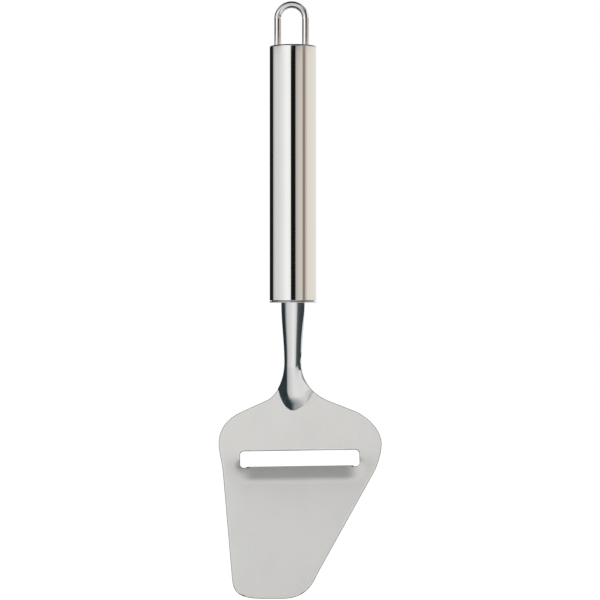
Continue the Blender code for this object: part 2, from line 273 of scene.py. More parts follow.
def makeCapTurning(name):
    look = capTurning
    material, tree, shader, coords = steelMaterial(name, look["light"])
    ringPlace = mathNode(tree, "MULTIPLY", axisPlace(tree, coords)[0], look["ringPitch"])
    values = {"W": ringPlace, "Scale": 1.0, "Detail": 3.0}
    rings = addNode(tree, "ShaderNodeTexNoise", values, noise_dimensions="1D").outputs["Fac"]
    tone = blendNode(tree, rings, stretchedNoise(tree, coords, look["clouds"]), look["ringShare"])
    shade = mixColour(tree, easeNode(tree, tone, *look["toneRange"]), look["dark"], look["light"])
    rough = easeNode(tree, tone, *reversed(look["toneRange"]), *look["rough"])
    finishSteel(tree, shader, shade, rough, rings, look["bump"])
    return material


# painted shade in the seam between the bottom cap's plug and the tube
seamShade = {
    "colour": (0.012, 0.012, 0.012),
    "rough": 0.7,
    "inside": (0.0004, 0.0003),     # it ends this far outside the plug
    "under": (-0.00002, 0.00002),
    "over": (0.0004, 0.0),
}


def darkenSeam(material, low, high, radius):
    # painted shade in the seam between plug and tube, where the steel is also rougher
    look = seamShade
    tree = material.node_tree
    shader = tree.nodes["Principled BSDF"]
    reach, height = axisPlace(tree, addNode(tree, "ShaderNodeTexCoord").outputs["Object"])
    inside = easeNode(tree, reach, *(radius + past for past in look["inside"]))
    lower = easeNode(tree, height, *(low + past for past in look["under"]))
    upper = easeNode(tree, height, *(high + past for past in look["over"]))
    paintedSeamShade = mathNode(tree, "MULTIPLY", inside, mathNode(tree, "MULTIPLY", lower, upper))
    steel, polish = (shader.inputs[name].links[0].from_socket for name in ("Base Color", "Roughness"))
    tree.links.new(mixColour(tree, paintedSeamShade, steel, look["colour"]), shader.inputs["Base Color"])
    values = {"Value": paintedSeamShade, "To Min": polish, "To Max": look["rough"]}
    dulled = addNode(tree, "ShaderNodeMapRange", values).outputs[0]
    tree.links.new(dulled, shader.inputs["Roughness"])


bladeSatin = {
    "light": (0.740, 0.737, 0.727),
    "dark": (0.697, 0.694, 0.684),
    "grain": (5200, 1200, 260),         # brushed along the blade
    "blotches": (90, 90, 60),
    "grainShare": 0.5,
    "toneRange": (0.3, 0.7),
    "rough": (0.285, 0.315),
    "bump": (0.00000015, 0.5),
    "pressed": 0.26,                    # painted shade: how much darker the steel is painted round the lip
    "neckColour": (0.70, 0.70, 0.695),
    "neckRough": 0.06,
    "neckGrain": 0.1,
    "worn": (0.74, 0.735, 0.72),        # along the edges
    "wornShare": 0.7,
    "wornReach": 0.0009,
    "wornRough": 0.75,
    "patchRange": (0.35, 0.65),         # the wear reaches further in some blotches than in others
    "patches": (0.7, 1.6),
    "edgeShadeColour": (0.10, 0.10, 0.10),      # painted shade along the cut edge
    "edgeShadeShare": 0.75,
    "edgeShadeReach": (0.00038, 0.00012),
}


def makeBladeSatin():
    look = bladeSatin
    material, tree, shader, coords = steelMaterial("bladeSatin", look["light"])
    marked = ("buffed", "pressed", "rimDistance")
    buffed, pressed, rimDistance = (attributeNode(tree, name) for name in marked)
    grain = stretchedNoise(tree, coords, look["grain"], detail=4.0)
    blotch = stretchedNoise(tree, coords, look["blotches"])
    tone = blendNode(tree, grain, blotch, look["grainShare"])
    shade = mixColour(tree, easeNode(tree, tone, *look["toneRange"]), look["dark"], look["light"])
    # painted shade: the steel is painted darker round the bent lip
    shade = mixColour(tree, mathNode(tree, "MULTIPLY", pressed, look["pressed"]), shade, (0, 0, 0))
    shade = mixColour(tree, buffed, shade, look["neckColour"])
    patch = easeNode(tree, blotch, *look["patchRange"], *look["patches"])
    wear = easeNode(tree, mathNode(tree, "MULTIPLY", rimDistance, patch), look["wornReach"], 0.0)
    shade = mixColour(tree, mathNode(tree, "MULTIPLY", wear, look["wornShare"]), shade, look["worn"])
    # painted shade: a thin dark line painted along the cut edges
    paintedEdgeShade = easeNode(tree, rimDistance, *look["edgeShadeReach"])
    shade = mixColour(tree, mathNode(tree, "MULTIPLY", paintedEdgeShade, look["edgeShadeShare"]), shade, look["edgeShadeColour"])
    satinRough = easeNode(tree, grain, *look["toneRange"], *look["rough"])
    wornRough = easeNode(tree, wear, 0.0, 1.0, 1.0, look["wornRough"])
    brushed = mathNode(tree, "MULTIPLY", satinRough, wornRough)
    values = {"Value": buffed, "To Min": brushed, "To Max": look["neckRough"]}
    rough = addNode(tree, "ShaderNodeMapRange", values).outputs[0]
    relief = mathNode(tree, "MULTIPLY", grain, easeNode(tree, buffed, 0.0, 1.0, 1.0, look["neckGrain"]))
    finishSteel(tree, shader, shade, rough, relief, look["bump"])
    return material


beadOxide = {
    "grey": (0.42, 0.41, 0.40),
    "tint": (900, 900, 700),
    "tints": [(0.32, (0.25, 0.27, 0.32)), (0.5, (0.42, 0.41, 0.40)), (0.68, (0.50, 0.43, 0.33))],
    "toneRange": (0.3, 0.7),
    "rough": (0.55, 0.32),
    "bump": (0.00002, 0.5),
}


def makeBeadOxide():
    look = beadOxide
    material, tree, shader, coords = steelMaterial("beadOxide", look["grey"])
    tint = stretchedNoise(tree, coords, look["tint"])
    rough = easeNode(tree, tint, *look["toneRange"], *look["rough"])
    finishSteel(tree, shader, rampNode(tree, tint, look["tints"]), rough, tint, look["bump"])
    return material


# handle tube, turned about its axis

handle = {
    "wall": 0.0008,
    "topRound": 0.0005,
    "topSteps": 8,
    "seamRound": 0.00006,
    "seamSteps": 3,
    "hold": 0.00012,            # short rows that keep the rounded ends' shading off the wall
    "rows": 48,
    "steps": 224,
    "sharp": math.radians(40),
}


def turnPiece(name, profile, steps, closed, sharp):
    # the profile runs down the outer side, as (radius, height) points
    count = len(profile)
    edges = [(i, (i + 1) % count) for i in range(count if closed else count - 1)]
    piece = linePiece(name, [(radius, 0, height) for radius, height in profile], edges)
    screw = piece.modifiers.new("turning", "SCREW")
    screw.steps = steps
    screw.render_steps = steps
    screw.use_merge_vertices = True
    screw.merge_threshold = 1e-6
    smoothOver(freeze(piece).data, sharp)
    return piece


def makeHandleTube(material):
    low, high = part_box("handle_tube")
    outer, top, bottom = high.x, high.z, low.z
    inner = outer - handle["wall"]
    rim, seam = handle["topRound"], handle["seamRound"]
    profile = list(arcPoints((outer - rim, top - rim), rim, quarter, 0, handle["topSteps"]))
    rows, hold = handle["rows"], handle["hold"]
    upper, lower = top - rim - hold, bottom + seam + hold
    profile += [(outer, upper + (lower - upper) * i / rows) for i in range(rows + 1)]
    profile += arcPoints((outer - seam, bottom + seam), seam, 0, -quarter, handle["seamSteps"])
    profile += [(inner, bottom), (inner, top)]
    piece = turnPiece("handleTube", profile, handle["steps"], True, handle["sharp"])
    piece.data.materials.append(material)
    settle(piece, "handle_steel", "handle_tube")


# blade: one pressed sheet, laid out flat as (length across, drop below the handle), then formed

blade = {
    "sheet": 0.0012,
    "tangLength": 0.0140,
    "neckWidth": 0.0086,
    "waistWidth": 0.0061,
    "waistDown": 0.0240,
    "flank": math.radians(72),
    "crestStart": -0.0023,
    "crestLean": 0.0235,
    "crestCurve": 1.0,
    "crestBend": 0.057,
    "bendStart": 0.0223,
    "bendLength": 0.0051,
    "noseDown": 0.0355,
    "noseLength": 0.0088,
    "noseDrop": 0.0020,
    "dropPower": 2.37,
    "noseBlunt": 0.72,
    "sharpenPower": 3.3,        # the crest and the feet sharpen towards the nose's end
    "sharpenBlunt": 0.75,
    "tilt": math.radians(10),
    "edgeCrowding": 1.6,
    "buffedEnd": (0.0350, 0.0050),
    "buffedAcross": (-0.0005, 0.0030),
    "edgeShadeWidening": 0.72,
    "edgeShadeWideAt": (0.0236, 0.0310, 0.0390),       # the cut edge shows where the neck opens out on the right, and the painted edge shade is wider there
    "edgeRound": 0.00026,
    "edgeSegments": 3,
}
sheetGrid = {
    "rows": {
        "tang": 6, "neck": 44, "flare": 90, "shoulder": 30, "cheek": 34, "ear": 40, "edge": 56, "tip": 24,
    },
    "samples": 4001,
    "outerEdge": 0.93,          # the outermost cells are wide enough for the rounded edge
    "gap": 0.030,               # between columns, in half widths
    "crowded": [(0.019, 0.0, 0.22), (0.021, 0.75, 0.06)],       # how much less it is, where and how far about
}
# values for the left and the right side; places are (distance from the axis, drop below the handle)
bladeSides = {
    "flare": ((0.0110, 0.0405), (0.0145, 0.0405)),
    "slope": (math.radians(24.2), math.radians(22.0)),
    "shoulder": ((0.0208, 0.0449), (0.0254, 0.0447)),
    "widest": ((0.0304, 0.0579), (0.0364, 0.0582)),
    "edge": ((0.0286, 0.0700), (0.0330, 0.0698)),
    "lean": (math.radians(5.3), math.radians(29.6)),
    "edgeEndDown": (0.1110, 0.1099),
    "tip": ((0.0125, 0.1201), (-0.0040, 0.1201)),
    "flarePull": ((0.0065, 0.0055), (0.0110, 0.0030)),
    "shoulderPull": ((0.0080, 0.0050), (0.0036, 0.0070)),
    "earPull": ((0.0037, 0.0049), (0.0014, 0.0054)),
    "tipPull": ((0.0052, 0.0115), (0.0030, 0.0105)),
    "noseHalf": (0.0063, 0.0090),
    "noseTaper": (0.40, 0.50),
    "noseRound": (5.0, 4.5),
    "footRadius": (0.0007, 0.0020),
    "openStart": (0.0204, 0.0171),
    "openLength": (0.0129, 0.0108),
    "buffedFrom": ((0.0006, 0.0006), (0.0022, 0.0050)),     # heights above the plate, at the neck and its end
}
bladeLeft, bladeRight = ({key: pair[i] for key, pair in bladeSides.items()} for i in range(2))
slot = {
    "length": 0.0490,
    "opening": 0.0065,
    "offset": 0.0028,
    "down": 0.06385,
    "tilt": math.radians(0.85),
    "corner": 0.0017,
    "reliefRadius": 0.0017,
    "reliefInset": 0.0016,
    "reliefDepth": 0.0005,
    "cornerSteps": 10,
    "reliefSteps": 20,
    "margin": 0.0013,           # of formed sheet round the slot, laid in rings
    "rings": 5,
    "ringCrowding": 1.25,
    "edgeRound": 0.55,          # share of the outline's edge round
    "groundRound": 0.2,
}
lip = {
    "angle": math.radians(12),
    "flat": 0.0044,
    "bend": 0.0028,
    "pressedRun": 0.0100,       # the painted shade reaches about this far below the lip
    "pressedFade": 0.0180,
    "fade": 0.0090,
    "fadeInset": 0.0060,        # the bend starts to die out this far inside the slot's ends
    "rise": 0.0035,
    "grindRun": 0.00024,
    "grindLand": 0.0002,
    "grindInset": 0.0035,
    "grindFade": 0.0012,
}
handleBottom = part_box("bottom_end_cap")[0].z
lipDrop = math.tan(lip["angle"]) * (lip["flat"] + lip["bend"] / 2)


def ease(value):
    value = np.clip(value, 0, 1)
    return value * value * (3 - 2 * value)


def neckHalf(down):
    narrowing = blade["waistWidth"] - blade["neckWidth"]
    return (blade["neckWidth"] + narrowing * ease(down / blade["waistDown"])) / 2


def crestRadius(down):
    return neckHalf(down) / math.sin(blade["flank"])


def neckArc():
    # centre and radius of the neck's sheet at the handle
    radius = float(crestRadius(0.0))
    return (0, blade["crestStart"] + radius), radius


def crestPlace(down):
    # the crest leans back more and more below the handle
    bend = np.clip((down - blade["bendStart"]) / blade["bendLength"], 0, 1)
    past = np.maximum(down - blade["bendStart"] - blade["bendLength"], 0)
    bent = blade["crestBend"] * (blade["bendLength"] * (bend**3 - bend**4 / 2) + past)
    curve = blade["crestCurve"] / 2 * np.maximum(down, 0) ** 2
    return blade["crestStart"] + blade["crestLean"] * down + curve + bent


noseSlope = blade["crestLean"] + blade["crestCurve"] * blade["noseDown"] + blade["crestBend"]
noseRun = (noseSlope + math.tan(blade["tilt"])) * blade["noseLength"]
noseHeight = noseRun + blade["noseDrop"]


def sheetPlane(down):
    back = crestPlace(blade["noseDown"]) + noseHeight
    return back - math.tan(blade["tilt"]) * (down - blade["noseDown"])


def emboss(length, down):
    # crest radius, flank angle, straight flank and foot radius of the pressed neck and its nose
    def sideValue(key):
        left, right = bladeSides[key]
        return np.where(length > 0, right, left)

    along = (down - blade["noseDown"]) / blade["noseLength"]
    toe = np.clip(along, 0, 1)
    noseHigh = np.maximum(noseHeight - noseRun * toe - blade["noseDrop"] * toe ** blade["dropPower"], 0)
    high = np.where(toe > 0, noseHigh, sheetPlane(down) - crestPlace(down))
    blunt = (1 - toe ** sideValue("noseRound")) ** blade["noseBlunt"]
    half = np.maximum(sideValue("noseHalf") * (1 - sideValue("noseTaper") * along) * blunt, 1e-9)
    share = np.maximum((1 - toe ** blade["sharpenPower"]) ** blade["sharpenBlunt"], 1e-4)
    foot = share * sideValue("footRadius")
    outer = share * crestRadius(down) + foot
    flat = np.sqrt(np.maximum(half**2 + high**2 - 2 * high * outer, 0))
    openFlank = np.arctan2(high - outer, half) + np.arctan2(outer, flat)
    opening = ease((down - sideValue("openStart")) / sideValue("openLength"))
    flank = blade["flank"] + (openFlank - blade["flank"]) * opening
    closed = (high - outer * (1 - np.cos(flank))) / np.maximum(np.sin(flank), 1e-6)
    return outer - foot, flank, np.where(opening < 1, closed, flat), foot


def acrossSheet(x, down):
    # length along the sheet, from the crest to a distance x from the axis
    radius, flank, flat, foot = (float(value) for value in emboss(x, np.float64(down)))
    crestX = radius * math.sin(flank)
    flankX = crestX + flat * math.cos(flank)
    footX = flankX + foot * math.sin(flank)
    if abs(x) <= crestX:
        far = radius * math.asin(abs(x) / radius)
    elif abs(x) <= flankX:
        far = radius * flank + (abs(x) - crestX) / math.cos(flank)
    elif abs(x) < footX:
        far = radius * flank + flat + foot * (flank - math.asin((footX - abs(x)) / foot))
    else:
        far = (radius + foot) * flank + flat + abs(x) - footX
    return math.copysign(far, x)


def section(length, down):
    radius, flank, flat, foot = emboss(length, down)
    far = np.abs(length)
    height = (radius + foot) * (1 - np.cos(flank)) + flat * np.sin(flank)
    crestX, crestFall = radius * np.sin(flank), radius * (1 - np.cos(flank))
    footX = crestX + flat * np.cos(flank) + foot * np.sin(flank)
    onFlank = far - radius * flank
    bend = flank - (onFlank - flat) / foot
    beyond = onFlank - flat - foot * flank
    x = np.where(beyond < 0, footX - foot * np.sin(bend), footX + beyond)
    rise = np.where(beyond < 0, foot * (1 - np.cos(bend)), 0)
    x = np.where(onFlank < flat, crestX + onFlank * np.cos(flank), x)
    rise = np.where(onFlank < flat, height - crestFall - onFlank * np.sin(flank), rise)
    x = np.where(onFlank < 0, radius * np.sin(far / radius), x)
    rise = np.where(onFlank < 0, height - radius * (1 - np.cos(far / radius)), rise)
    return np.copysign(x, length), rise


def belowLip(x, down):
    return down - slot["down"] + (x - slot["offset"]) * math.tan(slot["tilt"]) - slot["opening"] / 2


def endShare(x, fade):
    # dies out beside the slot's ends
    past = np.abs(x - slot["offset"]) - slot["length"] / 2
    return 1 - ease((past + lip["fadeInset"]) / fade)


def lipBack(x, down):
    # the lip is bent to the back
    below = belowLip(x, down)
    steep = math.tan(lip["angle"])
    left = np.maximum(lip["bend"] - (below - lip["flat"]), 0)
    drop = np.where(below < lip["flat"], lipDrop - below * steep, steep * left * left / (2 * lip["bend"]))
    drop = np.where(below < 0, lipDrop * ease(1 + below / lip["rise"]), drop)
    return endShare(x, lip["fade"]) * drop


def pressedShare(x, down):
    # how much painted shade the steel gets round the lip
    below = belowLip(x, down)
    above = ease(1 + below / slot["opening"])
    fading = np.exp(-np.maximum(below, 0) / lip["pressedRun"])
    return endShare(x, lip["pressedFade"]) * np.where(below < 0, above, fading)


def formSheet(length, down):
    x, rise = section(length, down)
    return np.stack([x, sheetPlane(down) - rise + lipBack(x, down), handleBottom - down], axis=-1)


def sheetNormals(length, down):
    step = 2e-6
    across = formSheet(length + step, down) - formSheet(length - step, down)
    along = formSheet(length, down + step) - formSheet(length, down - step)
    normals = np.cross(across, along)
    normals /= np.linalg.norm(normals, axis=-1, keepdims=True)
    return normals * -np.sign(normals[..., 1:2])


def groundAway(x, down):
    # how much of the front is ground off, so that the lip comes to an edge
    below = belowLip(x, down)
    past = np.abs(x - slot["offset"]) - (slot["length"] / 2 - lip["grindInset"])
    share = (1 - ease(past / lip["grindFade"])) * (below > -slot["opening"] / 2)
    depth = (blade["sheet"] - lip["grindLand"]) * (1 - np.clip(below, 0, None) / lip["grindRun"])
    return share * np.maximum(depth, 0)


def outlineSpan(start, startAngle, end, endAngle, pull, rows):
    first, last = Vector((*start, 0)), Vector((*end, 0))
    out = first + pull[0] * Vector((math.sin(startAngle), math.cos(startAngle), 0))
    back = last - pull[1] * Vector((math.sin(endAngle), math.cos(endAngle), 0))
    curve = interpolate_bezier(first, out, back, last, rows + 1)
    return [(point.x, point.y) for point in curve[1:]]


def outlineStraight(start, end, rows, crowding=1.0):
    steps = [(i / rows) ** crowding for i in range(1, rows + 1)]
    return [tuple(a + (b - a) * step for a, b in zip(start, end)) for step in steps]


def sideOutline(side):
    # returns the points down to the end of the straight edge, and those of the tip's corner
    rows = sheetGrid["rows"]
    downs = [blade["tangLength"] * (i / rows["tang"] - 1) for i in range(rows["tang"])]
    downs += [blade["waistDown"] * i / rows["neck"] for i in range(rows["neck"] + 1)]
    points = [(float(neckHalf(down)), down) for down in downs]
    sloping = quarter - side["slope"]
    points += outlineSpan(points[-1], 0, side["flare"], sloping, side["flarePull"], rows["flare"])
    points += outlineStraight(side["flare"], side["shoulder"], rows["shoulder"])
    points += outlineSpan(side["shoulder"], sloping, side["widest"], 0, side["shoulderPull"], rows["cheek"])
    points += outlineSpan(side["widest"], 0, side["edge"], -side["lean"], side["earPull"], rows["ear"])
    edgeX, edgeDown = side["edge"]
    fall = side["edgeEndDown"] - edgeDown
    edgeEnd = (edgeX - fall * math.tan(side["lean"]), side["edgeEndDown"])
    points += outlineStraight(side["edge"], edgeEnd, rows["edge"], blade["edgeCrowding"])
    steps = 2 * rows["tip"]
    corner = outlineSpan(edgeEnd, -side["lean"], side["tip"], -quarter, side["tipPull"], steps)
    return points, corner


def columnPlaces():
    # columns crowd at the neck's crest and at the slot's two ends
    spread = np.linspace(-sheetGrid["outerEdge"], sheetGrid["outerEdge"], sheetGrid["samples"])
    gap = np.full_like(spread, sheetGrid["gap"])
    for less, middle, reach in sheetGrid["crowded"]:
        gap -= less * np.exp(-(((np.abs(spread) - middle) / reach) ** 2))
    filled = np.cumsum(1 / gap)
    filled = (filled - filled[0]) / (filled[-1] - filled[0])
    count = int(round((spread[-1] - spread[0]) * np.mean(1 / gap)))
    inner = np.interp(np.linspace(0, 1, count + 1), filled, spread)
    return np.concatenate([[-1], inner, [1]])


def lineShares(points):
    # each point's place on the line, from 0 to 1
    steps = np.linalg.norm(np.diff(points, axis=0), axis=1)
    run = np.concatenate([[0], np.cumsum(steps)])
    return run / run[-1]


def alongLine(points, shares):
    points = np.array(points)
    return np.stack([np.interp(shares, lineShares(points), points[:, i]) for i in range(2)], axis=-1)


def tipBlock(top, leftCorner, rightCorner, columns):
    # the rounded end, blended between its sides and its lower edge
    rows = sheetGrid["rows"]["tip"]
    bottom = [*leftCorner[rows - 1:], *reversed(rightCorner[rows - 1:])]
    across = (1 + columns) / 2
    lower = alongLine(bottom, across)
    left = np.array([tuple(top[0]), *leftCorner[:rows]])
    right = np.array([tuple(top[-1]), *rightCorner[:rows]])
    down = np.linspace(0, 1, rows + 1)[1:, None, None]
    u = across[None, :, None]
    sides = (1 - u) * left[1:, None] + u * right[1:, None]
    ends = (1 - down) * top[None] + down * lower[None]
    corners = (1 - down) * ((1 - u) * top[0] + u * top[-1]) + down * ((1 - u) * lower[0] + u * lower[-1])
    return sides + ends - corners


def slotSides():
    # the slot's outline in the sheet's plane, as four sides that run clockwise from the top left
    halfLength, halfOpening, corner = slot["length"] / 2, slot["opening"] / 2, slot["corner"]
    relief, steps = slot["reliefRadius"], slot["cornerSteps"]
    cornerX, topY = halfLength - corner, halfOpening - corner
    reliefX = halfLength - slot["reliefInset"]
    reliefY = relief - slot["reliefDepth"] - halfOpening
    toRelief = Vector((reliefX - cornerX, reliefY + topY))
    chord = math.sqrt(corner**2 - (toRelief.length / 2) ** 2)
    middle = Vector((cornerX, -topY)) + toRelief / 2
    meet = middle + Vector((-toRelief.y, toRelief.x)).normalized() * chord
    if meet.x < middle.x:
        meet = 2 * middle - meet
    meetOnCorner = math.atan2(meet.y + topY, meet.x - cornerX)
    meetOnRelief = math.atan2(meet.y - reliefY, meet.x - reliefX)
    leaveRelief = -math.pi + math.asin((halfOpening + reliefY) / relief)
    right = [*arcPoints((cornerX, topY), corner, quarter / 2, 0, steps)]
    right += arcPoints((cornerX, -topY), corner, 0, meetOnCorner, steps)
    topHalf = [(0, halfOpening), *arcPoints((cornerX, topY), corner, quarter, quarter / 2, steps)]
    notch = arcPoints((reliefX, reliefY), relief, meetOnRelief, leaveRelief, slot["reliefSteps"])
    bottomHalf = [*notch, (0, -halfOpening)]

    def mirrored(points):
        return [(-x, y) for x, y in reversed(points)]

    top, bottom = mirrored(topHalf)[:-1] + topHalf, bottomHalf[:-1] + mirrored(bottomHalf)
    sides = [top, right, bottom, mirrored(right)]
    cosine, sine = math.cos(slot["tilt"]), math.sin(slot["tilt"])
    flatten = math.cos(blade["tilt"])
    return [
        [
            (slot["offset"] + x * cosine - y * sine, slot["down"] - (x * sine + y * cosine) * flatten)
            for x, y in side
        ]
        for side in sides
    ]


def layOutSheet():
    # flat layout: a grid from tang to tip, with rings of faces round the slot
    columns = columnPlaces()
    leftSide, leftCorner = sideOutline(bladeLeft)
    rightSide, rightCorner = sideOutline(bladeRight)
    lefts = np.array([(acrossSheet(-x, down), down) for x, down in leftSide])
    rights = np.array([(acrossSheet(x, down), down) for x, down in rightSide])
    share = ((1 + columns) / 2)[None, :, None]
    grid = (1 - share) * lefts[:, None] + share * rights[:, None]
    tip = tipBlock(grid[-1], [(-x, down) for x, down in leftCorner], rightCorner, columns)
    grid = np.concatenate([grid, tip])
    sides = slotSides()
    outline = np.concatenate([np.array(side) for side in sides])
    low, high = outline.min(0) - slot["margin"], outline.max(0) + slot["margin"]
    rows, cols = np.where(((grid > low) & (grid < high)).all(-1))
    top, bottom, left, right = rows.min() - 1, rows.max() + 1, cols.min() - 1, cols.max() + 1
    loopCells = [
        [(top, c) for c in range(left, right + 1)],
        [(r, right) for r in range(top, bottom + 1)],
        [(bottom, c) for c in range(right, left - 1, -1)],
        [(r, left) for r in range(bottom, top - 1, -1)],
    ]
    number = np.full(grid.shape[:2], -1)
    keep = np.ones(grid.shape[:2], bool)
    keep[top + 1:bottom, left + 1:right] = False
    number[keep] = np.arange(keep.sum())
    points = [grid[keep]]
    loop, goals = [], []
    for cells, side in zip(loopCells, sides):
        spots = np.array([grid[cell] for cell in cells])
        goals.append(alongLine(side, lineShares(spots))[:-1])
        loop += [number[cell] for cell in cells[:-1]]
    goals = np.concatenate(goals)
    starts = points[0][loop]
    faces = []
    for r in range(grid.shape[0] - 1):
        for c in range(grid.shape[1] - 1):
            if not (top <= r < bottom and left <= c < right):
                faces.append((number[r, c], number[r, c + 1], number[r + 1, c + 1], number[r + 1, c]))
    count = keep.sum()
    for ring in range(1, slot["rings"] + 1):
        points.append(goals - (goals - starts) * (1 - ring / slot["rings"]) ** slot["ringCrowding"])
        inner = list(range(count, count + len(loop)))
        count += len(loop)
        for i in range(len(loop)):
            j = (i + 1) % len(loop)
            faces.append((loop[i], loop[j], inner[j], inner[i]))
        loop = inner
    outer = [*number[0], *number[1:, -1], *number[-1, -2::-1], *number[-2:0:-1, 0]]
    return np.concatenate(points), faces, [int(i) for i in outer], loop


def buffedFrom(length, down):
    # the height above the plate from which the neck is fully buffed
    start, run = blade["buffedEnd"]
    left, width = blade["buffedAcross"]
    towardsEnd, towardsRight = ease((down - start) / run), ease((length - left) / width)
    onLeft, onRight = (high + (low - high) * towardsEnd for high, low in bladeSides["buffedFrom"])
    return onLeft + (onRight - onLeft) * towardsRight


def makeBlade(material):
    flat, faces, outer, inner = layOutSheet()
    count = len(flat)
    length, down = flat[:, 0], flat[:, 1]
    middle, normals = formSheet(length, down), sheetNormals(length, down)
    half = blade["sheet"] / 2
    ground = groundAway(middle[:, 0], down)
    front = middle + normals * (half - ground)[:, None]
    back = middle - normals * half
    allFaces = [tuple(int(i) for i in face) for face in faces]
    allFaces += [tuple(int(i) + count for i in reversed(face)) for face in faces]
    weights = {}
    for loop, share in ((outer, 1.0), (inner, slot["edgeRound"])):
        for i, j in zip(loop, loop[1:] + loop[:1]):
            allFaces.append((i, i + count, j + count, j))
            rounding = slot["groundRound"] if min(ground[i], ground[j]) > half / 2 else share
            weights[frozenset((i, j))] = rounding
            weights[frozenset((i + count, j + count))] = rounding
    mesh = bpy.data.meshes.new("bladeSheet")
    mesh.from_pydata(np.concatenate([front, back]).tolist(), [], allFaces)
    rim = kdtree.KDTree(len(outer) + len(inner))
    for i in (*outer, *inner):
        rim.insert((*flat[i], 0), i)
    rim.balance()
    distances = np.array([rim.find((*spot, 0))[2] for spot in flat], np.float32)
    # the painted edge shade, and the wear along the edges, reach further in where the cut edge shows
    upper, middleDown, lower = blade["edgeShadeWideAt"]
    shows = ease((down - upper) / (middleDown - upper)) * ease((lower - down) / (lower - middleDown))
    distances = (1 - blade["edgeShadeWidening"] * shows * (length > 0)) * distances + ground / 2
    # painted shade round the lip, kept as a point attribute for the material
    pressed = pressedShare(middle[:, 0], down)
    buffed = ease(section(length, down)[1] / buffedFrom(length, down))
    for name, values in (("rimDistance", distances), ("pressed", pressed), ("buffed", buffed)):
        attribute = mesh.attributes.new(name, "FLOAT", "POINT")
        attribute.data.foreach_set("value", np.concatenate([values, values]).astype(np.float32))
    grindLine = {i - len(inner) for i in inner if ground[i] > half / 2}
    crease = mesh.attributes.new("sharp_edge", "BOOLEAN", "EDGE")
    crease.data.foreach_set("value", [grindLine.issuperset(edge.vertices) for edge in mesh.edges])
    rounds = mesh.attributes.new("bevel_weight_edge", "FLOAT", "EDGE")
    rounds.data.foreach_set("value", [weights.get(frozenset(edge.vertices), 0.0) for edge in mesh.edges])
    piece = place("bladeSheet", mesh, material)
    faceOut(mesh, merge=0)
    mesh.shade_smooth()
    bevel = piece.modifiers.new("roundedEdges", "BEVEL")
    bevel.limit_method = "WEIGHT"
    bevel.width = blade["edgeRound"]
    bevel.segments = blade["edgeSegments"]
    bevel.use_clamp_overlap = False
    bevel.harden_normals = True
    freeze(piece)
    settle(piece, "blade_steel", "blade")


# end caps

caps = {
    "seam": 0.00005,            # hairline left round the top disc
    "holeGap": 0.00008,
    "edgeRound": 0.00015,
    "edgeSteps": 3,
    "steps": 160,
    "sharp": math.radians(35),
}


def circleSpline(curve, centre, radius, steps):
    spline = curve.splines.new("POLY")
    spline.points.add(steps - 1)
    spline.use_cyclic_u = True
    for i, point in enumerate(spline.points):
        angle = 2 * math.pi * i / steps
        point.co = (centre + radius * math.cos(angle), radius * math.sin(angle), 0, 1)


def makeTopCap(material):
    low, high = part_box("top_end_cap")
    edge = caps["edgeRound"]
    curve = bpy.data.curves.new("topCap", "CURVE")
    curve.dimensions = "2D"
    curve.fill_mode = "BOTH"
    curve.extrude = (high.z - low.z) / 2 - edge
    curve.bevel_depth = edge
    curve.bevel_resolution = caps["edgeSteps"]
    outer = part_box("handle_tube")[1].x - handle["wall"] - caps["seam"]
    circleSpline(curve, 0, outer - edge, caps["steps"])
    for x in wirePlaces():
        circleSpline(curve, x, wire["diameter"] / 2 + caps["holeGap"] + edge, caps["steps"] // 2)
    piece = place("topCapCurve", curve)
    graph = bpy.context.evaluated_depsgraph_get()
    mesh = bpy.data.meshes.new_from_object(piece.evaluated_get(graph), depsgraph=graph)
    bpy.data.objects.remove(piece)
    smoothOver(mesh, caps["sharp"])
    mesh.transform(Matrix.Translation((0, 0, (low.z + high.z) / 2)))
    mesh.materials.clear()
    piece = place("topCap", mesh, material)
    settle(piece, "cap_steel", "top_end_cap")


bottomRim = {
    "height": 0.0005,
    "edgeRound": 0.00012,
    "edgeSteps": 4,
    "plugGap": 0.00005,
    "neckGap": 0.00012,
    "neckSteps": 40,
    "cutPast": 0.002,
}


